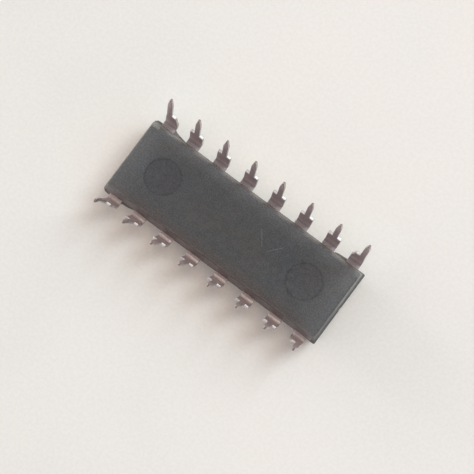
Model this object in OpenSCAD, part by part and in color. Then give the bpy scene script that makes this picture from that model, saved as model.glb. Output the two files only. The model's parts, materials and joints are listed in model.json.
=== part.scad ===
// Sixteen-lead dual in-line package, lying on its back with the leads up.
// Millimetres. The top face of the package is on z = 0, the lead tips point to +Z,
// the long side runs along X and the two rows of leads stand at +Y and -Y.

/* [Moulded body] */
// Length of the body at its parting plane
body_length = 19.7; // [19.35:0.05:20.25]
// Width of the body at its parting plane
body_width = 6.45; // [6.4:0.05:6.7]
// Height of the mould half that lies against the table
upper_half = 1.65; // [1.5:0.05:1.9]
// Height of the mould half that shows, with the two ejector marks
lower_half = 1.65; // [1.5:0.05:1.9]
// Slope of every side wall away from the parting plane, in degrees
draft_angle = 10.5; // [6:0.5:13]
// Radius of the upright corners at the parting plane
corner_radius = 0.3; // [0.15:0.05:0.4]

/* [Marks in the body] */
// Diameter of the two ejector pin marks
ejector_diameter = 2.84; // [2:0.02:3.2]
// Depth of the ejector pin marks
ejector_depth = 0.08; // [0.04:0.01:0.15]
// Distance of each ejector pin mark from the middle
ejector_offset = 6.52; // [5.5:0.02:7.2]
// Radius of the half-round notch that marks the first lead
notch_radius = 0.8; // [0.6:0.05:1]
// Depth of the notch below the top face
notch_depth = 1.1; // [0.7:0.05:1.2]

/* [Leads] */
// Distance between neighbouring leads of a row
lead_pitch = 2.54; // [2.5:0.01:2.58]
// Distance between the middles of the two rows at the bends
row_spacing = 7.62; // [7.5:0.02:7.9]
// Thickness of the lead metal
lead_thickness = 0.25; // [0.2:0.01:0.3]
// Width of the broad upper part of a lead
shoulder_width = 1.14; // [1:0.02:1.5]
// Width of the slim shank that goes through the board
shank_width = 0.42; // [0.38:0.02:0.56]
// Height of the shoulders above the face with the ejector marks
standoff = 0.38; // [0.25:0.01:0.6]
// Length from the shoulders to the tip, measured upright
shank_length = 3.5; // [2.9:0.05:3.8]
// Length of the tapered point
point_length = 1.1; // [0.6:0.05:1.4]
// Width of the flat end of the point
point_width = 0.14; // [0.08:0.02:0.24]
// Radius inside the bend of a lead
bend_radius = 0.25; // [0.15:0.01:0.28]
// Outward lean of the leads from upright, in degrees
lead_splay = 8.4; // [4:0.4:13.6]
// Radius in the corner between shank and shoulder
shoulder_fillet = 0.1; // [0.05:0.01:0.16]

/* [End leads] */
// Reach of the broad part towards the middle of the package, at the bend
end_inner_reach = 0.83; // [0.7:0.01:0.95]
// Reach of the broad part towards the end of the package, at the bend
end_outer_reach = 0.28; // [0.24:0.01:0.34]
// Height of the bend end where the inner edge starts to slope, measured along the lead
end_slope_start = 0.43; // [0.2:0.01:0.7]

/* [Lead fingers inside the body] */
// Depth to which the broad part runs into the body
land_depth = 0.75; // [0.65:0.05:0.9]
// Diameter of the hole that locks each lead in the body
lock_hole = 0.44; // [0.3:0.02:0.5]
// Width of a finger
finger_width = 0.36; // [0.28:0.02:0.42]
// Clearance between neighbouring fingers, and between a finger and the tie bar
finger_gap = 0.2; // [0.15:0.01:0.22]
// Distance between finger tips along the long side of the pad
tip_pitch = 1.1; // [1:0.02:1.14]
// Straight length of a finger before its tip
tip_straight = 0.3; // [0.2:0.05:0.4]

/* [Die pad] */
// Length of the pad under the die
pad_length = 4.2; // [4:0.1:4.6]
// Width of the pad under the die
pad_width = 2.6; // [2.5:0.05:2.75]
// Clearance between the pad and the finger tips
pad_gap = 0.3; // [0.2:0.05:0.35]
// Drop of the pad out of the plane of the leads
pad_downset = 0.25; // [0.15:0.05:0.4]
// Length over which the tie bars slope down to the pad
downset_run = 0.3; // [0.25:0.05:0.5]
// Width of the two tie bars
tie_width = 0.3; // [0.2:0.02:0.36]

/* [Die and wires] */
// Length of the die
die_length = 2.2; // [2:0.05:3]
// Width of the die
die_width = 1.7; // [1.6:0.05:2]
// Thickness of the die
die_thickness = 0.35; // [0.25:0.01:0.4]
// Thickness of the adhesive layer
attach_thickness = 0.025; // [0.02:0.005:0.05]
// Width of the adhesive that shows round the die
attach_margin = 0.05; // [0.02:0.01:0.1]
// Diameter of a bond wire
wire_diameter = 0.03; // [0.026:0.002:0.034]
// Height of the wire loops
wire_loop = 0.25; // [0.18:0.01:0.35]
// Diameter of the bonds at both ends of a wire
bond_diameter = 0.09; // [0.08:0.01:0.12]
// Height of the ball bond on the die
ball_height = 0.04; // [0.038:0.001:0.05]
// Height of the flattened bond on the finger
stitch_height = 0.035; // [0.034:0.001:0.045]
// Distance of the bonds from the edge of the die
die_bond_inset = 0.1; // [0.08:0.01:0.15]
// Distance of the flattened bonds from the tip of a finger
finger_bond_inset = 0.15; // [0.1:0.01:0.2]
// Distance between bonds along the long side of the die
side_bond_pitch = 0.5; // [0.3:0.05:0.55]
// Distance between bonds along the short side of the die
end_bond_pitch = 0.4; // [0.3:0.05:0.45]

/* [Hidden] */
// Leads in one row, and in one quarter of the package
row_leads = 8;
quarter_leads = row_leads / 2;
lead_total = 2 * row_leads;
// Smoothness of round forms
$fn = 48;
// Length that makes sure a cut passes its surface
cut = 1;
// Flat run that the land and the formed strip of a lead share, so that they are one piece
stub_overlap = 0.15;

body_height = upper_half + lower_half;
frame_low = upper_half - lead_thickness / 2;
frame_high = frame_low + lead_thickness;

// Lead section: where the bend starts and where its centre lies
outer_radius = bend_radius + lead_thickness;
bend_start = (row_spacing - lead_thickness) / 2 - bend_radius;
bend_height = frame_high + bend_radius;
bend_end_height = bend_height - bend_radius * sin(lead_splay);
shoulder_height = body_height + standoff;
tip_height = shoulder_height + shank_length;

// Lengths measured along the leaning part of a lead, on its inner face
function along(height) = (height - bend_end_height) / cos(lead_splay);
shoulder_along = along(shoulder_height);
tip_along = along(tip_height);
point_along = tip_along - point_length;

// Where fingers and wires end
land_end = body_width / 2 - land_depth;
side_tip = pad_width / 2 + pad_gap;
end_tip = pad_length / 2 + pad_gap;
tip_step = finger_width + finger_gap;
low_finger = (tie_width + tip_step + finger_gap) / 2;
pad_low = frame_low + pad_downset;
attach_low = pad_low - attach_thickness;
die_low = attach_low - die_thickness;

// A quarter holds four leads, numbered 0 to 3 from the middle to the end
function lead_x(k) = (k + 0.5) * lead_pitch;
function is_end(k) = k == quarter_leads - 1;
function reach_in(k) = is_end(k) ? end_inner_reach : shoulder_width / 2;
function reach_out(k) = is_end(k) ? end_outer_reach : shoulder_width / 2;

// The two middle leads of a quarter meet the long side of the pad, the others its end
function on_side(k) = k < 2;
function end_finger_y(k) = low_finger + (quarter_leads - 1 - k) * tip_step;
function finger_tip(k) = on_side(k)
    ? [(k + 0.5) * tip_pitch, side_tip]
    : [end_tip, end_finger_y(k)];
function finger_turn(k) = on_side(k)
    ? finger_tip(k) + [0, tip_straight]
    : [lead_x(k) - (land_end - end_finger_y(k)), end_finger_y(k)];
function finger_path(k) = [
    [lead_x(k), land_end + finger_width],
    [lead_x(k), land_end],
    finger_turn(k),
    finger_tip(k),
];

// Bonds of lead k on the die and on its finger
function die_bond(k) = on_side(k)
    ? [(k + 0.5) * side_bond_pitch, die_width / 2 - die_bond_inset]
    : [die_length / 2 - die_bond_inset, (quarter_leads - 0.5 - k) * end_bond_pitch];
function finger_bond(k) = finger_tip(k) + finger_bond_inset * (on_side(k) ? [0, 1] : [1, 0]);

// Outline of a strip of even width along a path, with mitred corners
function unit(v) = v / norm(v);
function heading(path, i) = unit(path[min(i + 1, len(path) - 1)] - path[min(i, len(path) - 2)]);
function left_of(v) = [-v[1], v[0]];
function mitre(path, i) =
    let(before = heading(path, max(i - 1, 0)), after = heading(path, i), side = left_of(unit(before + after)))
    side / (side * left_of(after));
function strip(path, width) = concat(
    [for (i = [0 : len(path) - 1]) path[i] + mitre(path, i) * width / 2],
    [for (i = [len(path) - 1 : -1 : 0]) path[i] - mitre(path, i) * width / 2]
);

// Leads 1 to 8 run along +Y from -X to +X, and 9 to 16 come back along -Y
function column(n) = n <= row_leads ? n - 1 : lead_total - n;
function from_middle(n) = column(n) - (row_leads - 1) / 2;
function quarter_index(n) = abs(from_middle(n)) - 0.5;
function two_digits(n) = n < 10 ? str("0", n) : str(n);
function lead_name(n) = str("lead_", two_digits(n));
function wire_name(n) = str("bond_wire_", two_digits(n));

// Moves what is drawn in the +X +Y quarter to the place of lead n
module at_lead(n) {
    mirror([from_middle(n) < 0 ? 1 : 0, 0, 0])
        mirror([0, n > row_leads ? 1 : 0, 0])
            children();
}

// Side view of the body across a size that is full at the parting plane
module drafted_profile(size) {
    low = size / 2 - upper_half * tan(draft_angle);
    high = size / 2 - lower_half * tan(draft_angle);
    polygon([
        [-low, 0], [low, 0], [size / 2, upper_half],
        [high, body_height], [-high, body_height], [-size / 2, upper_half],
    ]);
}

module rounded_rectangle(size, radius) {
    for (along_x = [0, 1])
        square(size - 2 * radius * [along_x, 1 - along_x], center = true);
    for (x = [-1, 1], y = [-1, 1])
        translate([x * (size[0] / 2 - radius), y * (size[1] / 2 - radius)])
            circle(r = radius);
}

// The outer form of the body, without what is moulded into it
module mould_form() {
    intersection() {
        rotate([90, 0, 0])
            translate([0, 0, -body_width])
                linear_extrude(2 * body_width)
                    drafted_profile(body_length);
        rotate([90, 0, 90])
            translate([0, 0, -body_length])
                linear_extrude(2 * body_length)
                    drafted_profile(body_width);
        translate([0, 0, -cut])
            linear_extrude(body_height + 2 * cut)
                rounded_rectangle([body_length, body_width], corner_radius);
    }
}

module ejector_mark(side) {
    translate([side * ejector_offset, 0, body_height - ejector_depth])
        cylinder(d = ejector_diameter, h = ejector_depth + cut);
}

// Half-round notch in the top edge of the end face at -X
module first_lead_notch() {
    translate([upper_half * tan(draft_angle) - body_length / 2, 0, -cut])
        cylinder(r = notch_radius, h = notch_depth + cut);
}

module package_body() {
    color([0.33, 0.33, 0.34])
        difference() {
            mould_form();
            for (side = [-1, 1]) ejector_mark(side);
            first_lead_notch();
            die_pad();
            die_attach();
            die();
            for (n = [1 : lead_total]) lead(n);
            for (n = [1 : lead_total]) bond_wire(n);
        }
}

// Flat stamping of lead k: the broad land with its lock hole, and the finger
module lead_plan(k) {
    difference() {
        union() {
            translate([lead_x(k) - reach_in(k), land_end])
                square([reach_in(k) + reach_out(k), bend_start - land_end]);
            polygon(strip(finger_path(k), finger_width));
        }
        translate([lead_x(k), land_end + land_depth / 2])
            circle(d = lock_hole);
    }
}

// Side view of the formed strip, with +Y to the right: flat stub, bend and leaning leg
module strip_profile() {
    far = 2 * outer_radius;
    translate([bend_start - stub_overlap, frame_low])
        square([stub_overlap, lead_thickness]);
    translate([bend_start, bend_height]) {
        intersection() {
            difference() {
                circle(r = outer_radius);
                circle(r = bend_radius);
            }
            polygon([[0, 0], [0, -far], [far, -far], far * [cos(lead_splay), -sin(lead_splay)]]);
        }
        rotate(-lead_splay)
            translate([bend_radius, 0])
                square([lead_thickness, tip_along + cut]);
    }
}

// Rounds the inside corner between the shank and a shoulder
module shank_fillet() {
    translate([shank_width / 2, shoulder_along])
        difference() {
            square(shoulder_fillet);
            translate([shoulder_fillet, shoulder_fillet])
                circle(r = shoulder_fillet);
        }
}

// Front view of lead k, with x towards the middle of the package and y along the leg
module lead_front(k) {
    start = -outer_radius - stub_overlap;
    inner_shoulder = shoulder_width / 2;
    outer_shoulder = is_end(k) ? shank_width / 2 : inner_shoulder;
    polygon([
        [-reach_out(k), start],
        [reach_in(k), start],
        [reach_in(k), end_slope_start],
        [inner_shoulder, shoulder_along],
        [shank_width / 2, shoulder_along],
        [shank_width / 2, point_along],
        [point_width / 2, tip_along],
        [-point_width / 2, tip_along],
        [-shank_width / 2, point_along],
        [-shank_width / 2, shoulder_along],
        [-outer_shoulder, shoulder_along],
        [-reach_out(k), end_slope_start],
    ]);
    shank_fillet();
    if (!is_end(k)) mirror([1, 0]) shank_fillet();
}

// Stub, bend and leg of lead k: the side view and the front view cut out of each other
module formed_strip(k) {
    side_reach = end_inner_reach + cut;
    intersection() {
        translate([lead_x(k) - side_reach, 0, 0])
            rotate([90, 0, 90])
                linear_extrude(2 * side_reach)
                    strip_profile();
        translate([lead_x(k), bend_start, bend_height])
            rotate([-lead_splay, 0, 0])
                rotate([90, 0, 0])
                    translate([0, 0, -cut])
                        linear_extrude(2 * cut)
                            mirror([1, 0])
                                lead_front(k);
    }
}

module lead(n) {
    k = quarter_index(n);
    color([0.62, 0.57, 0.56])
        at_lead(n) {
            translate([0, 0, frame_low])
                linear_extrude(lead_thickness)
                    lead_plan(k);
            formed_strip(k);
        }
}

// Side view of a tie bar, from the middle of the pad to past the end of the body
module tie_profile() {
    step_end = pad_length / 2;
    step_start = step_end + downset_run;
    polygon([
        [0, pad_low], [step_end, pad_low], [step_start, frame_low], [body_length, frame_low],
        [body_length, frame_high], [step_start, frame_high],
        [step_end, pad_low + lead_thickness], [0, pad_low + lead_thickness],
    ]);
}

// Pad under the die with the two tie bars, which are cut flush with the end faces
module die_pad() {
    color([0.72, 0.45, 0.3])
        intersection() {
            mould_form();
            union() {
                translate([-pad_length / 2, -pad_width / 2, pad_low])
                    cube([pad_length, pad_width, lead_thickness]);
                for (side = [0, 1])
                    mirror([side, 0, 0])
                        rotate([90, 0, 0])
                            translate([0, 0, -tie_width / 2])
                                linear_extrude(tie_width)
                                    tie_profile();
            }
        }
}

module die_attach() {
    length = die_length + 2 * attach_margin;
    width = die_width + 2 * attach_margin;
    color([0.75, 0.75, 0.78])
        translate([-length / 2, -width / 2, attach_low])
            cube([length, width, attach_thickness]);
}

module die() {
    color([0.3, 0.33, 0.42])
        translate([-die_length / 2, -die_width / 2, die_low])
            cube([die_length, die_width, die_thickness]);
}

// Round bond under a contact face, which lies at the given height
module bond(place, face, height) {
    translate([place[0], place[1], face - height])
        cylinder(d = bond_diameter, h = height);
}

// Circular arc of wire between two points, bulging to -Z by the loop height
module wire_arc(start, end) {
    run = end - start;
    chord = norm(run);
    radius = (chord * chord / 4 + wire_loop * wire_loop) / (2 * wire_loop);
    half_angle = asin(chord / 2 / radius);
    level = norm([run[0], run[1]]);
    translate((start + end) / 2)
        rotate([0, -atan2(run[2], level), atan2(run[1], run[0])])
            translate([0, 0, radius - wire_loop])
                rotate([90, 0, 0])
                    rotate([0, 0, -90 - half_angle])
                        rotate_extrude(angle = 2 * half_angle)
                            translate([radius, 0])
                                circle(d = wire_diameter);
}

module bond_wire(n) {
    k = quarter_index(n);
    // The ends of the arc stay inside the two bonds
    die_end = [each die_bond(k), die_low - ball_height + wire_diameter / 2];
    finger_end = [each finger_bond(k), frame_low - stitch_height + wire_diameter / 2];
    color([0.85, 0.68, 0.3])
        at_lead(n) {
            bond(die_bond(k), die_low, ball_height);
            bond(finger_bond(k), frame_low, stitch_height);
            wire_arc(die_end, finger_end);
        }
}

package_body();
die_pad();
die_attach();
die();
for (n = [1 : lead_total])
    lead(n);
for (n = [1 : lead_total])
    bond_wire(n);
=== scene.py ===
"""Sixteen-lead dual in-line package on its back: a drafted epoxy body with formed, tinned leads."""
import json
import math
from functools import cached_property

import bmesh
import bpy
from mathutils import Matrix, Vector

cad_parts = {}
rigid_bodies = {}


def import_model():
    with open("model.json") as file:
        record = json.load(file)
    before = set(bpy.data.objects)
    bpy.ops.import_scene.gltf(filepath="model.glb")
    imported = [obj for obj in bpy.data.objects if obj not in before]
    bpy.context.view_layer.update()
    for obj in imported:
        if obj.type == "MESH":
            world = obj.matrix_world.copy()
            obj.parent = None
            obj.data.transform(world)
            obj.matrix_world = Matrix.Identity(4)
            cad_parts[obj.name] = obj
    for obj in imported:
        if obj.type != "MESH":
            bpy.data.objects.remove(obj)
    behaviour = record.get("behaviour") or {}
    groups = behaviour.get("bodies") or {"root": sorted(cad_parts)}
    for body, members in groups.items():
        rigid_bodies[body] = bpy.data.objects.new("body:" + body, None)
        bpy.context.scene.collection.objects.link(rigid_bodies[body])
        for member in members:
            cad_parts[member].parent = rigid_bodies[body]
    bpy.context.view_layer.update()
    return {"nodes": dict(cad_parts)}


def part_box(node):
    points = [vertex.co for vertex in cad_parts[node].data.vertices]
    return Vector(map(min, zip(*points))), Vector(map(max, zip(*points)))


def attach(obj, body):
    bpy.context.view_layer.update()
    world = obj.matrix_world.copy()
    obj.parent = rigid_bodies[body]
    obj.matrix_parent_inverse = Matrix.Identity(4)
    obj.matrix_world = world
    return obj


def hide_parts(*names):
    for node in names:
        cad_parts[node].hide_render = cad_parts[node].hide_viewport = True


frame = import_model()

MM = 0.001

# How far off a point may be: to count as near, as on a cut, or as the same point
NEAR_SLACK = 0.002 * MM
CUT_SLACK = 0.0001 * MM
MERGE_SLACK = 0.0005 * MM
# Cosines: a face looks squarely or roughly in a direction
SQUARELY = 0.99
ROUGHLY = 0.7

# Moulded body, in metres
BODY_LENGTH = 19.7 * MM
BODY_WIDTH = 6.45 * MM
BODY_HEIGHT = 3.3 * MM
PARTING = 1.65 * MM
DRAFT = math.radians(10.5)
# Upright corners: end, side and radius
CORNERS = ((-1, 1, 0.3 * MM), (-1, -1, 0.16 * MM), (1, 1, 0.12 * MM), (1, -1, 0.12 * MM))
CORNER_STEPS = 6
EDGE_RADIUS = 0.13 * MM
EDGE_STEPS = 4
BODY_SMOOTHING = math.radians(32)
WITNESS_WIDTH = 0.03 * MM
WITNESS_HEIGHT = 0.012 * MM
EJECTOR_OFFSET = 6.52 * MM
EJECTOR_RADIUS = 1.42 * MM
EJECTOR_DEPTH = 0.08 * MM
PIN_SLOPE = 3.2
PIN_SIDES = 96
RIM_ROUNDING = 0.06 * MM
RIM_STEPS = 3
RIM_SEARCH = 0.12 * MM
NOTCH_RADIUS = 0.8 * MM
NOTCH_DEPTH = 1.1 * MM

# Flash at the parting line: its thickness, and how deep in the wall its inner and outer face start
FLASH_THICKNESS = 0.04 * MM
FLASH_ROOT = 0.08 * MM
FLASH_START = 0.02 * MM
# Side, then x and reach of the flash's edge, in millimetres
FLASH = (
    (1, ((-8.10, 0.33), (-7.95, 0.24), (-7.7, 0.15), (-7.4, 0.10), (-7.0, 0.02))),
    (1, ((7.0, 0.04), (7.3, 0.12), (7.7, 0.14), (8.0, 0.17), (8.12, 0.22))),
    (1, ((-9.80, -0.07), (-9.6, 0.11), (-9.3, 0.14), (-8.9, 0.12), (-8.5, 0.10))),
    (-1, ((-9.78, 0.0), (-9.6, 0.13), (-9.3, 0.17), (-8.9, 0.13), (-8.5, 0.06))),
    (-1, ((-8.12, 0.20), (-7.9, 0.13), (-7.5, 0.11), (-7.1, 0.02))),
)

# Leads, in metres
PITCH = 2.54 * MM
ROW_LEADS = 8
THICKNESS = 0.25 * MM
ROW_SPACING = 7.62 * MM
BEND_RADIUS = 0.25 * MM
BEND_STEPS = 10
SPLAY = math.radians(8.4)
LEAN = Vector((0, math.sin(SPLAY), math.cos(SPLAY)))
SHOULDER_WIDTH = 1.14 * MM
SHANK_WIDTH = 0.42 * MM
STANDOFF = 0.38 * MM
SHANK_LENGTH = 3.5 * MM
SHOULDER_HEIGHT = BODY_HEIGHT + STANDOFF
TIP_HEIGHT = SHOULDER_HEIGHT + SHANK_LENGTH
POINT_LENGTH = 1.1 * MM
POINT_WIDTH = 0.17 * MM
END_INNER_REACH = 0.83 * MM
END_OUTER_REACH = 0.28 * MM
END_SLOPE_START = 0.43 * MM
BEND_START = (ROW_SPACING - THICKNESS) / 2 - BEND_RADIUS
BEND_HEIGHT = PARTING + THICKNESS / 2 + BEND_RADIUS
CUT_INSIDE = BODY_WIDTH / 2 - 0.3 * MM
INNER_OVERLAP = 0.02 * MM
ROLLED_EDGE = 0.045 * MM
ROLLED_STEPS = 3
ROLLED_ANGLE = math.radians(35)
LEAD_SMOOTHING = math.radians(40)

# Shanks knocked out of line: lead number, shift in x and y, and twist
BOWED = {
    16: ((-0.10 * MM, 0.08 * MM), math.radians(-32)),
    15: ((-0.04 * MM, 0.05 * MM), math.radians(-20)),
}
# Levels at which a shank is pushed, with their share of the shift, and how far around each it is gripped
BOW_LEVELS = ((TIP_HEIGHT, 0.25), (TIP_HEIGHT - POINT_LENGTH, 1))
BOW_GRIP = 0.2 * MM


# Working by hand

def nothing_selected():
    for thing in bpy.context.view_layer.objects:
        thing.select_set(False)


def work_on(piece):
    """Makes one piece the selected and active one."""
    nothing_selected()
    piece.select_set(True)
    bpy.context.view_layer.objects.active = piece


def settle(piece):
    """Puts a piece's place and size into its mesh."""
    work_on(piece)
    bpy.ops.object.transform_apply(location=True, rotation=True, scale=True)
    return piece


def block(name, size, centre):
    """A box-shaped start for a piece, with its place in its mesh."""
    nothing_selected()
    bpy.ops.mesh.primitive_cube_add(size=1, location=centre)
    piece = bpy.context.object
    piece.name = name
    piece.scale = size
    return settle(piece)


def pick(kind, test):
    """Selects the faces, edges or verts of the mesh in edit mode that pass a test."""
    mesh = bmesh.from_edit_mesh(bpy.context.edit_object.data)
    bpy.context.tool_settings.mesh_select_mode = (kind == "verts", kind == "edges", kind == "faces")
    for group in (mesh.faces, mesh.edges, mesh.verts):
        for element in group:
            element.select = False
    for element in getattr(mesh, kind):
        if test(element):
            element.select_set(True)
    mesh.select_flush_mode()
    bmesh.update_edit_mesh(bpy.context.edit_object.data)


def cut_across(place, normal, **settings):
    """Cuts the whole mesh in edit mode along a plane."""
    pick("faces", lambda f: True)
    bpy.ops.mesh.bisect(plane_co=place, plane_no=normal, threshold=CUT_SLACK, **settings)


def round_off(radius, steps, **settings):
    """Rounds the selected edges."""
    bpy.ops.mesh.bevel(offset=radius, segments=steps, affect="EDGES", clamp_overlap=False, **settings)


def middle(element):
    return sum((v.co for v in element.verts), Vector()) / len(element.verts)


def near(a, b, slack=NEAR_SLACK):
    return abs(a - b) < slack


def is_level(edge):
    return near(edge.verts[0].co.z, edge.verts[1].co.z)


def use_modifier(piece, kind, **settings):
    """Adds a modifier, sets it and applies it."""
    work_on(piece)
    modifier = piece.modifiers.new(kind.title(), kind)
    for name, value in settings.items():
        setattr(modifier, name, value)
    bpy.ops.object.modifier_apply(modifier=modifier.name)


def smooth(piece, angle):
    work_on(piece)
    bpy.ops.object.shade_smooth_by_angle(angle=angle)


def copy_of(piece, name, matrix=Matrix.Identity(4)):
    """A copy with a mesh of its own, moved by a matrix, with its faces still outwards if it is mirrored."""
    double = piece.copy()
    double.data = piece.data.copy()
    double.name = name
    bpy.context.scene.collection.objects.link(double)
    double.data.transform(matrix)
    if matrix.determinant() < 0:
        double.data.flip_normals()
    return double


def join(piece, other):
    """Makes another piece part of this one."""
    work_on(piece)
    other.select_set(True)
    bpy.ops.object.join()


def dress(piece, *materials):
    piece.data.materials.clear()
    for material in materials:
        piece.data.materials.append(material)


# The moulded body

def cutter(name, radius, low, high, place, slope=0.0):
    """A round cutting piece; its side slopes outwards by slope for each unit of height."""
    spread = (high - low) / 2 * slope
    bpy.ops.mesh.primitive_cone_add(vertices=PIN_SIDES, radius1=radius - spread, radius2=radius + spread,
                                    depth=high - low, location=(*place, (low + high) / 2))
    tool = bpy.context.object
    tool.name = name
    return settle(tool)


def cut_out(piece, tool):
    use_modifier(piece, "BOOLEAN", object=tool, operation="DIFFERENCE", solver="EXACT")
    bpy.data.objects.remove(tool)


def soften_rim(body, x):
    """Rounds the upper and lower edge of one ejector pin mark."""
    def on_rim(edge):
        reach = [math.hypot(v.co.x - x, v.co.y) for v in edge.verts]
        return (all(near(r, EJECTOR_RADIUS, RIM_SEARCH) for r in reach) and is_level(edge)
                and middle(edge).z > BODY_HEIGHT - 1.5 * EJECTOR_DEPTH)
    work_on(body)
    bpy.ops.object.mode_set(mode="EDIT")
    pick("edges", on_rim)
    round_off(RIM_ROUNDING, RIM_STEPS)
    bpy.ops.object.mode_set(mode="OBJECT")


def flash_fin(side, columns):
    """A thin leaf of epoxy squeezed out at the parting line, given by its reach at several x."""
    wall = BODY_WIDTH / 2
    columns = [(x * MM, reach * MM) for x, reach in columns]
    first, last = columns[0][0], columns[-1][0]
    depth = (FLASH_ROOT + FLASH_START) / 2
    fin = block("flash_fin", (last - first, FLASH_ROOT - FLASH_START, FLASH_THICKNESS),
                ((first + last) / 2, side * (wall - depth), PARTING))
    bpy.ops.object.mode_set(mode="EDIT")
    for x, _ in columns[1:-1]:
        cut_across((x, 0, 0), (1, 0, 0))
    for x, reach in columns:
        pick("verts", lambda v: near(v.co.x, x) and side * v.co.y > wall - depth)
        bpy.ops.transform.translate(value=(0, side * (reach + FLASH_START), 0))
    bpy.ops.object.mode_set(mode="OBJECT")
    return fin


def drafted_block():
    """The body's outline: drafted both ways from the parting line, with rounded corners and edges."""
    slim = 2 * WITNESS_HEIGHT
    body = block("moulded_body", (BODY_LENGTH - slim, BODY_WIDTH - slim, BODY_HEIGHT),
                 (0, 0, BODY_HEIGHT / 2))
    bpy.ops.object.mode_set(mode="EDIT")
    for height in (PARTING - WITNESS_WIDTH / 2, PARTING, PARTING + WITNESS_WIDTH / 2):
        cut_across((0, 0, height), (0, 0, 1))
    # Draft of both halves
    for level, depth in ((0, PARTING), (BODY_HEIGHT, BODY_HEIGHT - PARTING)):
        inset = 2 * depth * math.tan(DRAFT)
        pick("verts", lambda v: near(v.co.z, level))
        bpy.ops.transform.resize(value=((BODY_LENGTH - inset) / (BODY_LENGTH - slim),
                                        (BODY_WIDTH - inset) / (BODY_WIDTH - slim), 1),
                                 center_override=(0, 0, level))
    # Upright corners, the line where the two mould halves met, and the upper and lower edges, rounded and
    # given the paler second material as a painted highlight
    for end, side, radius in CORNERS:
        pick("edges", lambda e: not is_level(e) and end * middle(e).x > 0 and side * middle(e).y > 0)
        round_off(radius, CORNER_STEPS)
    pick("verts", lambda v: near(v.co.z, PARTING))
    bpy.ops.transform.resize(value=(BODY_LENGTH / (BODY_LENGTH - slim), BODY_WIDTH / (BODY_WIDTH - slim), 1),
                             center_override=(0, 0, PARTING))
    for level in (0, BODY_HEIGHT):
        pick("edges", lambda e: all(near(v.co.z, level) for v in e.verts))
        round_off(EDGE_RADIUS, EDGE_STEPS, material=1)
    bpy.ops.object.mode_set(mode="OBJECT")
    return body


def moulded_body():
    """The body with its ejector pin marks in the face that shows, a notch in the hidden one, and flash."""
    body = drafted_block()
    for side in (-1, 1):
        x = side * EJECTOR_OFFSET
        pin = cutter("ejector_pin", EJECTOR_RADIUS + EJECTOR_DEPTH * PIN_SLOPE / 2,
                     BODY_HEIGHT - EJECTOR_DEPTH, BODY_HEIGHT + EJECTOR_DEPTH, (x, 0), PIN_SLOPE)
        cut_out(body, pin)
        soften_rim(body, x)
    top_edge = BODY_LENGTH / 2 - PARTING * math.tan(DRAFT)
    cut_out(body, cutter("notch_core", NOTCH_RADIUS, -MM, NOTCH_DEPTH, (-top_edge, 0)))
    for side, columns in FLASH:
        join(body, flash_fin(side, columns))
    smooth(body, BODY_SMOOTHING)
    return body


# The leads

def along(height):
    """Distance from the bend's end along the leaning part, for a height on its inner face."""
    return (height - (BEND_HEIGHT - BEND_RADIUS * math.sin(SPLAY))) / math.cos(SPLAY)


def push_out(distance):
    """Extrudes the selected faces along the leaning part of a lead."""
    step = (0, distance * math.sin(SPLAY), distance * math.cos(SPLAY))
    bpy.ops.mesh.extrude_region_move(TRANSFORM_OT_translate={"value": step})


def pick_across(distance, low=-math.inf, high=math.inf):
    """Picks the faces across a lead at a distance along its leaning part, within a range of x."""
    start = Vector((0, BEND_START, BEND_HEIGHT))

    def test(face):
        place = middle(face)
        return (abs(face.normal.dot(LEAN)) > SQUARELY and near((place - start).dot(LEAN), distance)
                and low < place.x < high)
    pick("faces", test)


def slant_sides(lead, left, right):
    """Draws in the broad part of an end lead towards its shoulders."""
    for old, new in ((left, -SHOULDER_WIDTH / 2), (right, SHANK_WIDTH / 2)):
        pick_across(along(SHOULDER_HEIGHT))
        chosen = {v.index for f in bmesh.from_edit_mesh(lead.data).faces if f.select for v in f.verts}
        pick("verts", lambda v: v.index in chosen and near(v.co.x, old))
        bpy.ops.transform.translate(value=(new - old, 0, 0))


def mark_cut_faces(lead):
    """Gives the sheared sides and the shoulder tops the second finish."""
    bpy.ops.object.mode_set(mode="EDIT")
    pick("faces", lambda f: (abs(f.normal.x) > ROUGHLY
                             or (f.normal.dot(LEAN) > SQUARELY and middle(f).z < TIP_HEIGHT - MM)))
    lead.active_material_index = 1
    bpy.ops.object.material_slot_assign()
    bpy.ops.object.mode_set(mode="OBJECT")


def formed_lead(name, finishes, end=False):
    """One lead of the +Y row, centred on x = 0; an end lead has its broad side towards -X."""
    left = -END_INNER_REACH if end else -SHOULDER_WIDTH / 2
    right = END_OUTER_REACH if end else SHOULDER_WIDTH / 2
    half_shank = SHANK_WIDTH / 2
    lead = block(name, (right - left, BEND_START - CUT_INSIDE, THICKNESS),
                 ((left + right) / 2, (CUT_INSIDE + BEND_START) / 2, PARTING))
    bpy.ops.object.mode_set(mode="EDIT")
    # Columns for the shank and the shoulders on each side of it
    for x in ((-half_shank,) if end else (-half_shank, half_shank)):
        cut_across((x, 0, 0), (1, 0, 0))
    pick("faces", lambda f: f.normal.y > SQUARELY)
    bpy.ops.mesh.spin(steps=BEND_STEPS, angle=SPLAY - math.pi / 2, center=(0, BEND_START, BEND_HEIGHT),
                      axis=(1, 0, 0))
    push_out(END_SLOPE_START)
    push_out(along(SHOULDER_HEIGHT) - END_SLOPE_START)
    if end:
        slant_sides(lead, left, right)
    pick_across(along(SHOULDER_HEIGHT), -half_shank, half_shank)
    push_out(along(TIP_HEIGHT) - POINT_LENGTH - along(SHOULDER_HEIGHT))
    push_out(POINT_LENGTH)
    bpy.ops.transform.resize(value=(POINT_WIDTH / SHANK_WIDTH, 1, 1), center_override=(0, 0, 0))
    bpy.ops.object.mode_set(mode="OBJECT")
    dress(lead, *finishes)
    mark_cut_faces(lead)
    use_modifier(lead, "BEVEL", width=ROLLED_EDGE, segments=ROLLED_STEPS, limit_method="ANGLE",
                 angle_limit=ROLLED_ANGLE, use_clamp_overlap=False)
    smooth(lead, LEAD_SMOOTHING)
    return lead


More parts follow.
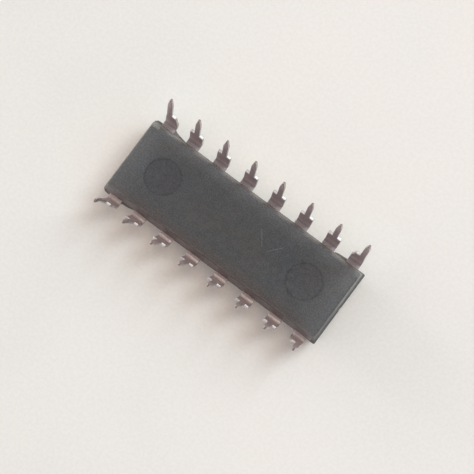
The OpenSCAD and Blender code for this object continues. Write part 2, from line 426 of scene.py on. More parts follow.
def bow(lead, shift, twist):
    """Twists a shank and pushes it aside where its point begins, so that its tip hooks back."""
    work_on(lead)
    bpy.ops.object.mode_set(mode="EDIT")
    for level, share in BOW_LEVELS:
        pick("verts", lambda v: near(v.co.z, level, BOW_GRIP))
        chosen = [v.co.copy() for v in bmesh.from_edit_mesh(lead.data).verts if v.select]
        centre = sum(chosen, Vector()) / len(chosen)
        bpy.ops.transform.rotate(value=twist, orient_axis="Z", center_override=centre)
        bpy.ops.transform.translate(value=(share * shift[0], share * shift[1], 0))
    bpy.ops.object.mode_set(mode="OBJECT")


def inner_part(node, finish):
    """Copy of a CAD lead's land and finger, cut off just inside the wall of the body."""
    inner = copy_of(frame["nodes"][node], node + "_inner")
    side = 1 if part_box(node)[0].y > 0 else -1
    work_on(inner)
    bpy.ops.object.mode_set(mode="EDIT")
    pick("verts", lambda v: True)
    bpy.ops.mesh.remove_doubles(threshold=MERGE_SLACK)
    cut_across((0, side * (CUT_INSIDE + INNER_OVERLAP), 0), (0, side, 0), clear_outer=True, use_fill=True)
    bpy.ops.object.mode_set(mode="OBJECT")
    dress(inner, finish)
    return inner


def leads(tin, cut_tin):
    """All sixteen leads: 1 to 8 from -X along the far row, 9 to 16 back along the near row."""
    middle_lead = formed_lead("middle_lead", (tin, cut_tin))
    end_lead = formed_lead("end_lead", (tin, cut_tin), end=True)
    turn = Matrix.Rotation(math.pi, 4, "Z")
    mirror = Matrix.Diagonal((-1, 1, 1, 1))
    made = []
    for n in range(1, 2 * ROW_LEADS + 1):
        far = n <= ROW_LEADS
        column = n - 1 if far else 2 * ROW_LEADS - n
        master = end_lead if column in (0, ROW_LEADS - 1) else middle_lead
        place = Matrix.Translation(((column - (ROW_LEADS - 1) / 2) * PITCH, 0, 0))
        if not far:
            place = place @ turn
        # An end lead's broad side faces the middle of its row
        if master == end_lead and (column == 0) == far:
            place = place @ mirror
        lead = copy_of(master, f"tinned_lead_{n:02d}", place)
        if n in BOWED:
            bow(lead, *BOWED[n])
        node = f"lead_{n:02d}"
        join(lead, inner_part(node, tin))
        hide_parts(node)
        made.append(lead)
    for master in (middle_lead, end_lead):
        bpy.data.objects.remove(master)
    return made


# Materials

NOISE_ROUGHNESS = 0.55
# A whole number of pitches, added to keep places along a row above nought
PITCHES_ASIDE = 20.0
# A spot's soft edge starts and ends at these shares of its reach
SPOT_INSIDE = 0.75
SPOT_OUTSIDE = 1.25


class Finish:
    """A material whose nodes are added one after another."""

    def __init__(self, name):
        self.material = bpy.data.materials.new(name)
        self.material.use_nodes = True
        self.tree = self.material.node_tree
        self.tree.nodes.clear()
        self.output = self.add("ShaderNodeOutputMaterial")
        self.place = self.add("ShaderNodeTexCoord").outputs["Object"]

    @cached_property
    def axes(self):
        """The place on each axis, in metres."""
        return self.add("ShaderNodeSeparateXYZ", {"Vector": self.place}).outputs

    def add(self, kind, inputs=None, **settings):
        node = self.tree.nodes.new(kind)
        for name, value in settings.items():
            setattr(node, name, value)
        for name, value in (inputs or {}).items():
            self.put(node.inputs[name], value)
        return node

    def put(self, socket, value):
        """Links a node's output to a socket, or sets the socket to a plain value or colour."""
        if isinstance(value, bpy.types.NodeSocket):
            self.tree.links.new(value, socket)
        elif socket.type == "RGBA":
            socket.default_value = (*value, 1)
        else:
            socket.default_value = value

    def noise(self, size, detail, stretch=None):
        """Noise whose patches are about one size across, in metres."""
        place = self.place
        if stretch:
            place = self.add("ShaderNodeMapping", {"Vector": place, "Scale": stretch}).outputs["Vector"]
        return self.add("ShaderNodeTexNoise", {"Vector": place, "Scale": 1 / size, "Detail": detail,
                                               "Roughness": NOISE_ROUGHNESS}).outputs["Fac"]

    def span(self, value, low, high, out_low, out_high):
        """Goes smoothly from out_low to out_high while a value goes from low to high."""
        return self.add("ShaderNodeMapRange", {"Value": value, "From Min": low, "From Max": high,
                                               "To Min": out_low, "To Max": out_high},
                        interpolation_type="SMOOTHSTEP").outputs["Result"]

    def patches(self, size, detail, low=0.3, high=0.7):
        """Soft patches, nought where the noise is below low and one where it is above high."""
        return self.span(self.noise(size, detail), low, high, 0, 1)

    def turned_over(self, amount):
        return self.span(amount, 0, 1, 1, 0)

    def maths(self, kind, a, b=0.0):
        return self.add("ShaderNodeMath", {0: a, 1: b}, operation=kind).outputs[0]

    def times(self, amount, *others):
        """The product of several amounts."""
        for other in others:
            amount = self.maths("MULTIPLY", amount, other)
        return amount

    def off(self, value, centre):
        """How far a value is from a centre, either way."""
        return self.maths("ABSOLUTE", self.maths("SUBTRACT", value, centre))

    def vector(self, kind, a, b=(0, 0, 0), out="Vector"):
        return self.add("ShaderNodeVectorMath", {0: a, 1: b}, operation=kind).outputs[out]

    def across_pitch(self):
        """From nought to one over each pitch of a row, and a half at each lead."""
        pitches = self.maths("ADD", self.maths("DIVIDE", self.axes["X"], PITCH), PITCHES_ASIDE)
        return self.maths("FRACT", pitches)

    def blend(self, amount, first, second, kind="MIX"):
        node = self.add("ShaderNodeMix", data_type="RGBA", blend_type=kind)
        for index, value in ((0, amount), (6, first), (7, second)):
            self.put(node.inputs[index], value)
        return node.outputs[2]

    def cast(self, color, factor, amount=1.0):
        """Multiplies a colour by a factor, where the amount is one."""
        return self.blend(amount, color, factor, "MULTIPLY")

    def bump(self, height, distance, strength, under=None):
        inputs = {"Height": height, "Distance": distance, "Strength": strength}
        if under is not None:
            inputs["Normal"] = under
        return self.add("ShaderNodeBump", inputs).outputs["Normal"]

    def spot(self, centre, scale, reach, wander):
        """One inside a stretched ball around centre, nought outside, with a wandering edge."""
        away = self.vector("MULTIPLY", self.vector("SUBTRACT", self.place, centre), scale)
        away = self.maths("ADD", self.vector("LENGTH", away, out="Value"), wander)
        return self.span(away, SPOT_INSIDE * reach, SPOT_OUTSIDE * reach, 1, 0)

    def stroke(self, start, end, width):
        """One along a line across the upper face, fading at its ends."""
        line = Vector(end) - Vector(start)
        way = line.normalized()
        away = self.vector("SUBTRACT", self.place, (*start, 0))
        along_it = self.vector("DOT_PRODUCT", away, (way.x, way.y, 0), "Value")
        across_it = self.vector("DOT_PRODUCT", away, (-way.y, way.x, 0), "Value")
        inside = self.span(self.off(along_it, line.length / 2), line.length / 4, line.length / 2, 1, 0)
        return self.times(inside, self.span(self.maths("ABSOLUTE", across_it), width / 4, width, 1, 0))

    def surface(self, color, roughness, normal, **values):
        """Finishes the material; in the names of values an underscore stands for a space."""
        shader = self.add("ShaderNodeBsdfPrincipled",
                          {"Base Color": color, "Roughness": roughness, "Normal": normal})
        for name, value in values.items():
            self.put(shader.inputs[name.replace("_", " ")], value)
        self.tree.links.new(shader.outputs["BSDF"], self.output.inputs["Surface"])
        return self.material

    def two_tone(self, clouds, dark, light, roughness, normal, **values):
        """Finishes a material that goes from one colour and roughness to another in soft patches."""
        color = self.blend(clouds, dark, light)
        return self.surface(color, self.span(clouds, 0, 1, *roughness), normal, **values)


# Epoxy, its colours linear
EPOXY_COOL = (0.0705, 0.0705, 0.0715)
EPOXY_WARM = (0.077, 0.073, 0.070)
EPOXY_BROWN = (0.088, 0.068, 0.060)
BELOW_CAST = (0.94, 0.93, 0.935)
HALFWAY_CAST = (0.99, 0.965, 0.91)
ABOVE_CAST = (1.06, 1.04, 1.03)
# Painted sheen: the upper face is paler towards its ends and far side
EPOXY_SHEEN = (0.156, 0.153, 0.155)
RING_DARK = (0.03, 0.03, 0.034)
MARK_DARK = (0.02, 0.02, 0.027)
# Painted light on the far top edge: paler between the leads than beside them
FAR_EDGE_LIGHT_BETWEEN = (0.224, 0.192, 0.170)
FAR_EDGE_LIGHT_BY_LEAD = (0.118, 0.101, 0.092)
# Painted light on the near side beside the leads
NEAR_SIDE_LIGHT_CAST = (1.20, 1.22, 1.22)
# Painted light on the near top edge, more towards the ends
NEAR_EDGE_LIGHT = (0.118, 0.096, 0.088)
NEAR_EDGE_LIGHT_END = (0.145, 0.138, 0.135)
# Painted light: wall colours paler than the face, for the paper that the walls reflect
WALL_NEAR = (0.150, 0.122, 0.116)
WALL_NEAR_END = (0.190, 0.176, 0.172)
WALL_FAR = (0.208, 0.184, 0.168)
END_FOOT = (0.06, 0.06, 0.06)
END_SHADED = (0.10, 0.10, 0.105)
WALL_DARKER = (0.92, 0.92, 0.92)
WALL_PALER = (1.07, 1.07, 1.07)
# Colour of real scuffs, also used for the painted highlight along the +X end
SCUFF_AND_HIGHLIGHT = (0.34, 0.335, 0.30)
SCRATCH = (0.112, 0.110, 0.106)
SPECKLE_DARKER = (0.78, 0.78, 0.785)
SPECKLE_PALER = (1.21, 1.21, 1.22)
TINT_WARM = (1.025, 1.0, 0.98)
TINT_COOL = (0.98, 1.0, 1.02)
GRAIN = (0.12, 0.118, 0.118)

# Epoxy patterns: size of a patch and detail, then for some the noise levels that they run between
CLOUDS = (3.5 * MM, 2)
MOTTLE = (0.35 * MM, 4)
FILLER = (0.045 * MM, 3)
FLAKES = (0.16 * MM, 3)
BLOTCHES = (1.1 * MM, 3)
END_WAVES = (0.7 * MM, 3)
WALL_PATCHES = (0.5 * MM, 3, 0.35, 0.65)
FRAYING = (0.12 * MM, 3)
SPECKLE = (0.11 * MM, 2)
TINT_DRIFT = (0.45 * MM, 3, 0.35, 0.65)

# How far, in metres, those patterns push an outline about
BLOTCH_PUSH = 1.6 * MM
END_WAVE_PUSH = 0.9 * MM
FRAYING_PUSH = 0.22 * MM

# Epoxy ramps: from and to, then the amount at each
BROWN_RAMP = (-2.5 * MM, -3.9 * MM, 0, 0.9)
BELOW_MIDDLE_RAMP = (1.3 * MM, -0.3 * MM, 0, 1)
BELOW_NEAR_SIDE_RAMP = (-2.5 * MM, -1.7 * MM, 0.3, 1)
HALFWAY_RAMP = (5.5 * MM, 1.5 * MM, 0, 1)
ABOVE_MIDDLE_RAMP = (0.9 * MM, 1.7 * MM, 0, 1)
END_SHEEN_RAMP = (6.0 * MM, 10.2 * MM, 0, 1)
FAR_SHEEN_RAMP = (1.7 * MM, 3.1 * MM, 0, 0.85)
SHEEN_IN_MARK_RAMP = (0, 1, 1, 0.15)
UPPER_FACE_RAMP = (BODY_HEIGHT - 0.14 * MM, BODY_HEIGHT - 0.05 * MM, 0, 1)
MARK_RAMP = (EJECTOR_RADIUS - 0.12 * MM, EJECTOR_RADIUS + 0.1 * MM, 1, 0)
MARK_DARKNESS_RAMP = (-MM, MM, 0.55, 0.42)
RING_RAMP = (0.03 * MM, 0.25 * MM, 1, 0)
RING_FLAKES_RAMP = (0.35, 0.6, 0, 0.14)
BETWEEN_LEADS_RAMP = (0.22, 0.36, 0, 1)
FAR_EDGE_RAMP = (2.70 * MM, 2.90 * MM, 0, 0.8)
NEAR_EDGE_RAMP = (-2.74 * MM, -2.88 * MM, 0, 0.85)
NEAR_SIDE_RAMP = (-2.76 * MM, -2.86 * MM, 0, 1)
BY_END_RAMP = (6.2 * MM, 8.6 * MM, 0, 1)
FAR_WALL_RAMP = (0, 3 * MM, 0, 1)
END_WALL_RAMP = (8 * MM, 9.6 * MM, 0, 0.8)
AT_END_RAMP = (9.4 * MM, 9.55 * MM, 0, 1)
LINE_START_RAMP = (3.02 * MM, 3.22 * MM, 0, 1)
LINE_STOP_RAMP = (3.45 * MM, 3.62 * MM, 1, 0)
LINE_ALONG_RAMP = (-2 * MM, 1.5 * MM, 0.15, 0.6)
END_FOOT_RAMP = (3.15 * MM, 2.6 * MM, 0, 0.85)
END_SHADED_RAMP = (0.5 * MM, -1.2 * MM, 0, 0.45)
GRAIN_RAMP = (0.45, 0.8, 0, 0.35)

# How much of the mottle and of the painted sheen shows, and how dark the mottle is
MOTTLE_SHARE = 0.2
MOTTLE_DARKNESS = 0.72
SHEEN_SHARE = 0.6
# How far the mottle frays the painted pale stretches between leads, in pitches
MOTTLE_FRAYING = 0.08

# Epoxy surface: roughness over the mottle, gloss of the walls, and depth and strength of the texture
EPOXY_ROUGHNESS = (0.62, 0.78)
WALL_GLOSS = 0.25
FILLER_BUMP = (0.008 * MM, 0.8)
FLAKE_BUMP = (0.012 * MM, 0.6)
EPOXY_SPECULAR = 0.3

# The body's rounded edges are painted paler than the face, a painted highlight, and are glossier
EDGE_HIGHLIGHT_LIFT = 1.35
EDGE_GLOSS = 0.2

# Worn places on the body, in millimetres: centre, stretch on each axis, reach, and then the amount
SCUFFS = (
    ((-9.36, 2.82, 3.25), (1.0, 1.2, 1.0), 0.36, 0.75),
    ((-9.05, 2.79, 3.30), (1.0, 0.8, 1.0), 0.26, 0.45),
    ((-7.9, 0.9, 3.30), (0.7, 0.5, 0.5), 1.3, 0.03),
    ((7.9, 0.2, 3.30), (0.9, 0.5, 0.5), 1.3, 0.02),
    ((-8.05, 2.95, 3.20), (0.4, 1.2, 1.0), 0.30, 0.25),
    ((-8.70, 3.12, 2.60), (0.35, 1.0, 0.5), 0.30, 0.35),
    ((9.45, 2.95, 3.25), (0.9, 1.0, 0.6), 0.50, 0.32),
    ((9.5, 2.5, 3.30), (0.7, 0.6, 0.5), 0.90, 0.07),
)
# Scratches on the upper face, in metres: from and to
SCRATCHES = (
    ((1.56 * MM, 1.45 * MM), (2.60 * MM, 0.06 * MM)),
    ((2.85 * MM, -0.03 * MM), (3.96 * MM, 1.27 * MM)),
)
SCRATCH_WIDTH = 0.05 * MM


class EpoxyFinish(Finish):
    """Dark filled epoxy with the fine matt texture of an eroded mould."""

    def __init__(self, name, lift):
        super().__init__(name)
        self.lift = lift
        self.mottle = self.patches(*MOTTLE)
        self.filler = self.noise(*FILLER)
        self.flakes = self.noise(*FLAKES)
        self.from_middle = self.maths("ABSOLUTE", self.axes["X"])
        self.by_end = self.span(self.from_middle, *BY_END_RAMP)
        self.on_top = self.span(self.axes["Z"], *UPPER_FACE_RAMP)
        past_pin = self.maths("SUBTRACT", self.from_middle, EJECTOR_OFFSET)
        off_pin = self.add("ShaderNodeCombineXYZ", {"X": past_pin, "Y": self.axes["Y"]}).outputs["Vector"]
        self.from_pin = self.vector("LENGTH", off_pin, out="Value")
        self.in_mark = self.times(self.on_top, self.span(self.from_pin, *MARK_RAMP))
        off_lead = self.off(self.across_pitch(), 0.5)
        frayed = self.maths("ADD", off_lead, self.times(self.mottle, MOTTLE_FRAYING))
        self.between = self.span(frayed, *BETWEEN_LEADS_RAMP)

    def lifted(self, color, share=1.0):
        return tuple(c * self.lift * share for c in color)

    def along_y(self, ramp):
        return self.span(self.axes["Y"], *ramp)

    def face(self):
        """The moulded face: brown along the near side, darker and warmer below the middle, paler above."""
        color = self.blend(self.patches(*CLOUDS), self.lifted(EPOXY_COOL), self.lifted(EPOXY_WARM))
        darker = self.lifted(EPOXY_COOL, MOTTLE_DARKNESS)
        color = self.blend(self.times(self.mottle, MOTTLE_SHARE), color, darker)
        blotches = self.times(self.noise(*BLOTCHES), BLOTCH_PUSH)
        brown = self.span(self.maths("SUBTRACT", self.axes["Y"], blotches), *BROWN_RAMP)
        color = self.blend(brown, color, self.lifted(EPOXY_BROWN))
        below = self.times(self.along_y(BELOW_MIDDLE_RAMP), self.along_y(BELOW_NEAR_SIDE_RAMP))
        color = self.cast(color, BELOW_CAST, below)
        halfway = self.times(below, self.span(self.from_middle, *HALFWAY_RAMP))
        color = self.cast(color, HALFWAY_CAST, halfway)
        return self.cast(color, ABOVE_CAST, self.along_y(ABOVE_MIDDLE_RAMP))

    def with_sheen(self, color):
        """Painted light: a pale sheen is painted towards both ends and the far side, where the face catches
        more light, but hardly in the ejector marks.
        """
        end_sheen = self.span(self.from_middle, *END_SHEEN_RAMP)
        end_sheen = self.times(end_sheen, end_sheen)
        sheen = self.maths("MAXIMUM", end_sheen, self.along_y(FAR_SHEEN_RAMP))
        sheen = self.times(sheen, self.span(self.in_mark, *SHEEN_IN_MARK_RAMP), SHEEN_SHARE)
        return self.blend(sheen, color, self.lifted(EPOXY_SHEEN))

    def ringed(self, color):
        """A faint broken ring runs round each ejector mark."""
        ring = self.span(self.off(self.from_pin, EJECTOR_RADIUS), *RING_RAMP)
        ring = self.times(ring, self.on_top, self.span(self.flakes, *RING_FLAKES_RAMP))
        return self.blend(ring, color, RING_DARK)

    def edged(self, color):
        """Painted light on the top edges: the far edge is painted pale, most of all between the leads where
        light passes them, and the near edge a little lighter.
        """
        far_edge_light = self.blend(self.between, FAR_EDGE_LIGHT_BY_LEAD, FAR_EDGE_LIGHT_BETWEEN)
        color = self.blend(self.along_y(FAR_EDGE_RAMP), color, far_edge_light)
        # Painted light: the near edge is painted lighter, against the shade on its rounding
        near_edge_light = self.blend(self.by_end, NEAR_EDGE_LIGHT, NEAR_EDGE_LIGHT_END)
        return self.blend(self.along_y(NEAR_EDGE_RAMP), color, near_edge_light)

    def wall(self):
        """Painted light: the slanting walls are painted paler than the face, for the lit paper that they
        reflect, most of all on the far side and at the +X end.
        """
        end_wall = self.span(self.axes["X"], *END_WALL_RAMP)
        paler_side = self.maths("MAXIMUM", self.along_y(FAR_WALL_RAMP), end_wall)
        wall = self.blend(paler_side, self.blend(self.by_end, WALL_NEAR, WALL_NEAR_END), WALL_FAR)
        # Painted highlight: a pale line along the top of the +X end, over a darker foot; and painted shade
        # on that end's near half
        at_end = self.span(self.axes["X"], *AT_END_RAMP)
        height = self.maths("ADD", self.axes["Z"], self.times(self.noise(*END_WAVES), END_WAVE_PUSH))
        end_highlight = self.times(at_end, self.span(height, *LINE_START_RAMP),
                               self.span(height, *LINE_STOP_RAMP), self.along_y(LINE_ALONG_RAMP))
        wall = self.blend(end_highlight, wall, SCUFF_AND_HIGHLIGHT)
        wall = self.blend(self.times(at_end, self.span(height, *END_FOOT_RAMP)), wall, END_FOOT)
        wall = self.blend(self.times(at_end, self.along_y(END_SHADED_RAMP)), wall, END_SHADED)
        return self.cast(wall, self.blend(self.patches(*WALL_PATCHES), WALL_DARKER, WALL_PALER))

    def worn(self, color):
        """Rubbed corners and edges, the dark ejector marks and two faint scratches."""
        frayed = self.times(self.noise(*FRAYING), FRAYING_PUSH)
        for centre, stretch, reach, amount in SCUFFS:
            wear_and_highlight = self.spot([c * MM for c in centre], stretch, reach * MM, frayed)
            color = self.blend(self.times(wear_and_highlight, amount), color, SCUFF_AND_HIGHLIGHT)
        marks = self.times(self.in_mark, self.span(self.axes["X"], *MARK_DARKNESS_RAMP))
        color = self.blend(marks, color, MARK_DARK)
        for start, end in SCRATCHES:
            scratch = self.times(self.stroke(start, end, SCRATCH_WIDTH), self.on_top)
            color = self.blend(scratch, color, SCRATCH)
        return color

    def speckled(self, color):
        """A fine speckle, a slow drift of tint, and the pale grains of the filler."""
        color = self.cast(color, self.blend(self.patches(*SPECKLE), SPECKLE_DARKER, SPECKLE_PALER))
        color = self.cast(color, self.blend(self.patches(*TINT_DRIFT), TINT_WARM, TINT_COOL))
        return self.blend(self.span(self.filler, *GRAIN_RAMP), color, self.lifted(GRAIN))


def moulded_epoxy(name, lift=1.0, gloss=0.0):
    """The body's epoxy, with painted light: a sheen towards its ends and far edge, and paler walls."""
    f = EpoxyFinish(name, lift)
    color = f.edged(f.ringed(f.with_sheen(f.face())))
    color = f.blend(f.turned_over(f.on_top), color, f.wall())
    # Painted light: beside its leads the near side is painted a little paler, against the shade of the leads
    by_lead_light = f.times(f.turned_over(f.between), f.along_y(NEAR_SIDE_RAMP))
    color = f.speckled(f.worn(f.cast(color, NEAR_SIDE_LIGHT_CAST, by_lead_light)))
    normal = f.bump(f.flakes, *FLAKE_BUMP, under=f.bump(f.filler, *FILLER_BUMP))
    shine = f.span(f.on_top, 0, 1, WALL_GLOSS, gloss)
    roughness = f.maths("SUBTRACT", f.span(f.mottle, 0, 1, *EPOXY_ROUGHNESS), shine)
    return f.surface(color, roughness, normal, Specular_IOR_Level=EPOXY_SPECULAR)


# Tin plate, its colours linear
TIN_DARK = (0.66, 0.51, 0.51)
TIN_LIGHT = (0.76, 0.61, 0.61)
TIN_SPECK = (0.40, 0.29, 0.28)
BROWN_DARK = (0.52, 0.36, 0.33)
BROWN_LIGHT = (0.60, 0.43, 0.39)
# Painted shade on the legs above the bend
LEG_SHADE_CAST = (0.68, 0.68, 0.68)
STUB_FAR = (0.40, 0.35, 0.36)
STUB_NEAR = (0.52, 0.43, 0.43)
TIP_END = (0.16, 0.11, 0.10)
# Colour of the painted glint on the near row's bends
BEND_GLINT = (1.0, 0.89, 0.86)
# Painted light on the far row's bends
FAR_BEND_LIGHT_CAST = (1.27, 1.32, 1.36)
CUT_DARK = (0.55, 0.50, 0.48)
CUT_LIGHT = (0.71, 0.67, 0.65)

# Tin patterns: size of a patch and detail, then for specks the noise levels and for marks the stretch
TIN_CLOUDS = (0.6 * MM, 4)
TIN_SPECKS = (0.08 * MM, 3, 0.45, 0.7)
DRAWING_MARKS = (0.05 * MM, 4, (1, 0.12, 0.12))
CUT_CLOUDS = (0.3 * MM, 3)
SHEAR_MARKS = (0.04 * MM, 3, (1, 1, 0.2))

# Tin ramps: from and to, then the amount at each
NEAR_ROW_RAMP = (0.5 * MM, -0.5 * MM, 0, 1)
LEG_SHADE_FROM_BEND_RAMP = (2.0 * MM, 3.4 * MM, 0, 1)
LEG_SHADE_TO_TIP_RAMP = (5.2 * MM, 6.2 * MM, 1, 0.5)
STUB_RAMP = (1.82 * MM, 1.96 * MM, 1, 0)
FAR_BEND_RAMP = (3.50 * MM, 3.58 * MM, 0, 1)
FAR_BEND_TOP_RAMP = (2.1 * MM, 2.7 * MM, 1, 0)
GLINT_START_RAMP = (-3.34 * MM, -3.45 * MM, 0, 1)
GLINT_STOP_RAMP = (-3.58 * MM, -3.68 * MM, 1, 0)
GLINT_ACROSS_RAMP = (0.32, 0.66, 0.76, 1)
GLINT_FROM_NOTCH_RAMP = (-8.6 * MM, -4 * MM, 0.2, 1)
GLINT_LAST_RAMP = (7.8 * MM, 8.5 * MM, 1, 0.45)
TIP_END_RAMP = (TIP_HEIGHT - 0.12 * MM, TIP_HEIGHT - 0.03 * MM, 0, 0.8)
SPECK_SHARE = 0.25

# Tin surface: roughness over the clouds, depth and strength of the marks, and how metallic it is
TIN_ROUGHNESS = (0.40, 0.50)
DRAWING_BUMP = (0.006 * MM, 0.5)
TIN_METALLIC = 0.3
CUT_ROUGHNESS = (0.44, 0.56)
SHEAR_BUMP = (0.003 * MM, 0.5)


def dull_tin():
    """Tin plate that has dulled to a mauve grey, with fine drawing marks along each lead."""
    f = Finish("plated_leads")
    clouds = f.patches(*TIN_CLOUDS)
    color = f.blend(clouds, TIN_DARK, TIN_LIGHT)
    # The near row is browner than the far one; painted shade darkens both above the bend, less so at the
    # tips
    near_row = f.span(f.axes["Y"], *NEAR_ROW_RAMP)
    color = f.blend(near_row, color, f.blend(clouds, BROWN_DARK, BROWN_LIGHT))
    leg_shade = f.times(f.span(f.axes["Z"], *LEG_SHADE_FROM_BEND_RAMP), f.span(f.axes["Z"], *LEG_SHADE_TO_TIP_RAMP))
    color = f.cast(color, LEG_SHADE_CAST, leg_shade)
    # The flat stubs next to the body are darker in the far row
    in_stub = f.span(f.axes["Z"], *STUB_RAMP)
    color = f.blend(in_stub, color, f.blend(near_row, STUB_FAR, STUB_NEAR))
    # Painted light: the far row's bends are a little paler than its legs, against the shade beside the body
    far_bend_light = f.times(f.span(f.axes["Y"], *FAR_BEND_RAMP), f.span(f.axes["Z"], *FAR_BEND_TOP_RAMP))
    color = f.cast(color, FAR_BEND_LIGHT_CAST, far_bend_light)
    # Painted glint along the near row's bends
    bend_glint = f.times(in_stub, f.span(f.across_pitch(), *GLINT_ACROSS_RAMP),
                     f.span(f.axes["Y"], *GLINT_START_RAMP), f.span(f.axes["Y"], *GLINT_STOP_RAMP),
                     f.span(f.axes["X"], *GLINT_FROM_NOTCH_RAMP), f.span(f.axes["X"], *GLINT_LAST_RAMP))
    color = f.blend(bend_glint, color, BEND_GLINT)
    color = f.blend(f.span(f.axes["Z"], *TIP_END_RAMP), color, TIP_END)
    color = f.blend(f.times(f.patches(*TIN_SPECKS), SPECK_SHARE), color, TIN_SPECK)
    return f.surface(color, f.span(clouds, 0, 1, *TIN_ROUGHNESS),
                     f.bump(f.noise(*DRAWING_MARKS), *DRAWING_BUMP), Metallic=TIN_METALLIC)


def bright_cut():
    """Clean metal of the sheared faces, with fine upright marks from the die."""
    f = Finish("bright_cut_edge")
    return f.two_tone(f.patches(*CUT_CLOUDS), CUT_DARK, CUT_LIGHT, CUT_ROUGHNESS,
                      f.bump(f.noise(*SHEAR_MARKS), *SHEAR_BUMP), Metallic=1.0)


# Parts inside the body: colours, patterns, roughness and texture
FRAME_DARK = (0.5, 0.46, 0.42)
FRAME_LIGHT = (0.62, 0.56, 0.5)
GOLD_DARK = (0.8, 0.6, 0.22)
GOLD_LIGHT = (0.9, 0.7, 0.3)
STRIP_CLOUDS = (0.5 * MM, 3)
ROLLING_MARKS = (0.05 * MM, 3, (0.1, 1, 1))
STRIP_ROUGHNESS = (0.3, 0.45)
ROLLING_BUMP = (0.004 * MM, 0.5)
ADHESIVE_DARK = (0.42, 0.42, 0.44)
ADHESIVE_LIGHT = (0.7, 0.7, 0.72)
ADHESIVE_FLAKES = (0.03 * MM, 3, 0.4, 0.6)
ADHESIVE_ROUGHNESS = (0.6, 0.4)
ADHESIVE_BUMP = (0.004 * MM, 0.5)
SILICON_DARK = (0.09, 0.10, 0.15)
SILICON_LIGHT = (0.13, 0.13, 0.17)
SILICON_CLOUDS = (0.4 * MM, 2)
SILICON_ROUGHNESS = (0.1, 0.16)
SILICON_BUMP = (0.0005 * MM, 0.3)
SILICON_METALLIC = 0.6


def rolled_strip(name, dark, light):
    """Bare metal, with fine marks along X."""
    f = Finish(name)
    return f.two_tone(f.patches(*STRIP_CLOUDS), dark, light, STRIP_ROUGHNESS,
                      f.bump(f.noise(*ROLLING_MARKS), *ROLLING_BUMP), Metallic=1.0)


def filled_adhesive():
    """Matt adhesive full of metal flake."""
    f = Finish("die_adhesive")
    flakes = f.patches(*ADHESIVE_FLAKES)
    return f.two_tone(flakes, ADHESIVE_DARK, ADHESIVE_LIGHT, ADHESIVE_ROUGHNESS,
                      f.bump(flakes, *ADHESIVE_BUMP))


def polished_silicon():
    f = Finish("silicon")
    clouds = f.patches(*SILICON_CLOUDS)
    return f.two_tone(clouds, SILICON_DARK, SILICON_LIGHT, SILICON_ROUGHNESS, f.bump(clouds, *SILICON_BUMP),
                      Metallic=SILICON_METALLIC)


# Paper that the package lies on, its colours linear
PAPER_WARM = (0.884, 0.817, 0.754)
PAPER_COOL = (0.857, 0.802, 0.744)
PAPER_SHADE = (0.945, 0.962, 0.966)
# Painted warm bounce light round the package
PAPER_WARM_BOUNCE = (1.0, 0.985, 0.965)
# Painted light on the paper beyond the far row
PAPER_LIGHT_BEYOND = (1.045, 1.07, 1.08)
FIBRE_DARKER = (0.975, 0.975, 0.975)
FIBRE_PALER = (1.02, 1.02, 1.02)
PAPER_CLOUDS = (14 * MM, 2)
FIBRES = (0.25 * MM, 4)
FIBRE_RAMP = (0.3, 0.7, 0, 1)
# The paper darkens against this direction
SHADE_DIRECTION = (0.8, 0.6, 0)
SHADE_RAMP = (15 * MM, -22 * MM, 0, 1)
# An oval round the package with painted warm bounce light: how its axes are squeezed, and how it fades
OVAL = (0.55, 1.0, 1.0)
OVAL_RAMP = (4.5 * MM, 9 * MM, 1, 0)
# A patch of painted light beyond the far row: where it starts and stops in y, and stops in x
BEYOND_START_RAMP = (2.5 * MM, 3.5 * MM, 0, 1)
BEYOND_STOP_RAMP = (4.5 * MM, 9 * MM, 1, 0)
BEYOND_END_RAMP = (9 * MM, 13 * MM, 1, 0)
PAPER_ROUGHNESS = (0.85, 0.9)
FIBRE_BUMP = (0.01 * MM, 0.3)
PAPER_SPECULAR = 0.2


def pale_paper():
    """Plain paper with a fine fibre, painted warmer round the package and paler beyond its far row, both
    painted light.
    """
    f = Finish("pale_paper")
    clouds = f.patches(*PAPER_CLOUDS)
    fibres = f.noise(*FIBRES)
    color = f.blend(clouds, PAPER_WARM, PAPER_COOL)
    slant = f.vector("DOT_PRODUCT", f.place, SHADE_DIRECTION, "Value")
    color = f.cast(color, PAPER_SHADE, f.span(slant, *SHADE_RAMP))
    # Painted warm bounce light round the package
    from_chip = f.vector("LENGTH", f.vector("MULTIPLY", f.place, OVAL), out="Value")
    color = f.cast(color, PAPER_WARM_BOUNCE, f.span(from_chip, *OVAL_RAMP))
    # Painted light beyond the far row
    light_beyond = f.times(f.span(f.axes["Y"], *BEYOND_START_RAMP), f.span(f.axes["Y"], *BEYOND_STOP_RAMP),
                     f.span(f.maths("ABSOLUTE", f.axes["X"]), *BEYOND_END_RAMP))
    color = f.cast(color, PAPER_LIGHT_BEYOND, light_beyond)
    color = f.cast(color, f.blend(f.span(fibres, *FIBRE_RAMP), FIBRE_DARKER, FIBRE_PALER))
    return f.surface(color, f.span(clouds, 0, 1, *PAPER_ROUGHNESS), f.bump(fibres, *FIBRE_BUMP),
                     Specular_IOR_Level=PAPER_SPECULAR)


# Building

TABLE_SIZE = 2.0

epoxy = moulded_epoxy("moulded_epoxy")
# The rounded edges' epoxy: paler, a painted highlight
wear_and_highlight = moulded_epoxy("epoxy_edge_highlight", EDGE_HIGHLIGHT_LIFT, EDGE_GLOSS)
tin = dull_tin()
cut_tin = bright_cut()
strip_metal = rolled_strip("bare_leadframe", FRAME_DARK, FRAME_LIGHT)
gold = rolled_strip("gold_wire", GOLD_DARK, GOLD_LIGHT)

body = moulded_body()
dress(body, epoxy, wear_and_highlight)
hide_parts("package_body")
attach(body, "root")

for lead in leads(tin, cut_tin):
    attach(lead, "root")

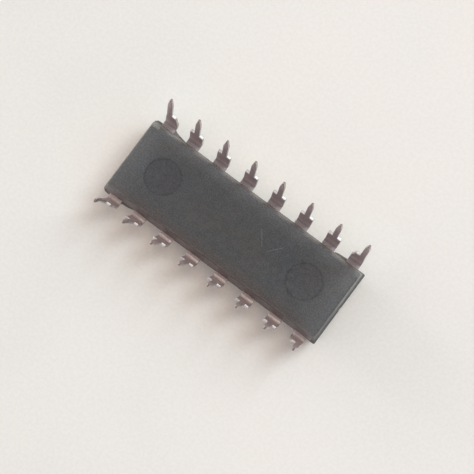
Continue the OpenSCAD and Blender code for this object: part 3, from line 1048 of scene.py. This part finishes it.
dress(frame["nodes"]["die_pad"], strip_metal)
dress(frame["nodes"]["die_attach"], filled_adhesive())
dress(frame["nodes"]["die"], polished_silicon())
for n in range(1, 2 * ROW_LEADS + 1):
    dress(frame["nodes"][f"bond_wire_{n:02d}"], gold)

nothing_selected()
bpy.ops.mesh.primitive_plane_add(size=TABLE_SIZE, location=(0, 0, 0))
table = bpy.context.object
table.name = "table_top"
dress(table, pale_paper())


# Light

LAMP_DISTANCE = 2.0
LAMP_SIZE = 1.0
# Lamps: name, degrees above the table and round from +X, watts and colour
LAMPS = (
    ("window", 50, 65, 20.6, (0.78, 0.918, 1.0)),
    ("far_ceiling", 70, 90, 6.5, (1.0, 0.875, 0.75)),
    ("near_ceiling", 70, 270, 2.3, (1.0, 0.70, 0.72)),
    ("right_ceiling", 70, 0, 2.1, (1.0, 0.78, 0.45)),
    ("side_wall", 12, 180, 17.5, (1.0, 0.90, 0.76)),
    ("near_wall", 30, 225, 3.1, (1.0, 0.85, 0.80)),
)
ROOM_COLOR = (0.825, 0.90, 1.0, 1)
ROOM_STRENGTH = 0.41


def soft_lamp(name, height, turn, power, color):
    """A large round lamp that looks at the package."""
    up, round_z = math.radians(height), math.radians(turn)
    direction = Vector((math.cos(up) * math.cos(round_z), math.cos(up) * math.sin(round_z), math.sin(up)))
    lamp = bpy.data.lights.new(name, "AREA")
    lamp.shape = "DISK"
    lamp.size = LAMP_SIZE
    lamp.energy = power
    lamp.color = color
    holder = bpy.data.objects.new(name, lamp)
    holder.location = direction * LAMP_DISTANCE
    holder.rotation_euler = (-direction).to_track_quat("-Z", "Y").to_euler()
    bpy.context.scene.collection.objects.link(holder)


for lamp in LAMPS:
    soft_lamp(*lamp)

world = bpy.data.worlds.new("room")
world.use_nodes = True
room = world.node_tree.nodes["Background"].inputs
room["Color"].default_value = ROOM_COLOR
room["Strength"].default_value = ROOM_STRENGTH
bpy.context.scene.world = world


# Camera

# Width of the photo and focal length, in pixels
PHOTO_WIDTH = 474
FOCAL_PIXELS = 1700
SENSOR_WIDTH = 36
CLIP_START = 0.01
CLIP_END = 10
CAMERA_PLACE = (0.010010, -0.008274, 0.128411)
CAMERA_LOOK = (-0.07505, 0.06337, -0.99516)
CAMERA_UP = (-0.59393, 0.79881, 0.09566)

camera = bpy.data.cameras.new("camera")
camera.sensor_width = SENSOR_WIDTH
camera.lens = FOCAL_PIXELS * SENSOR_WIDTH / PHOTO_WIDTH
camera.clip_start = CLIP_START
camera.clip_end = CLIP_END
look = Vector(CAMERA_LOOK).normalized()
right = look.cross(Vector(CAMERA_UP)).normalized()
axes = Matrix((right, right.cross(look), -look)).transposed().to_4x4()
holder = bpy.data.objects.new("camera", camera)
holder.matrix_world = Matrix.Translation(CAMERA_PLACE) @ axes
bpy.context.scene.collection.objects.link(holder)
bpy.context.scene.camera = holder
bpy.context.scene.view_settings.view_transform = "Standard"
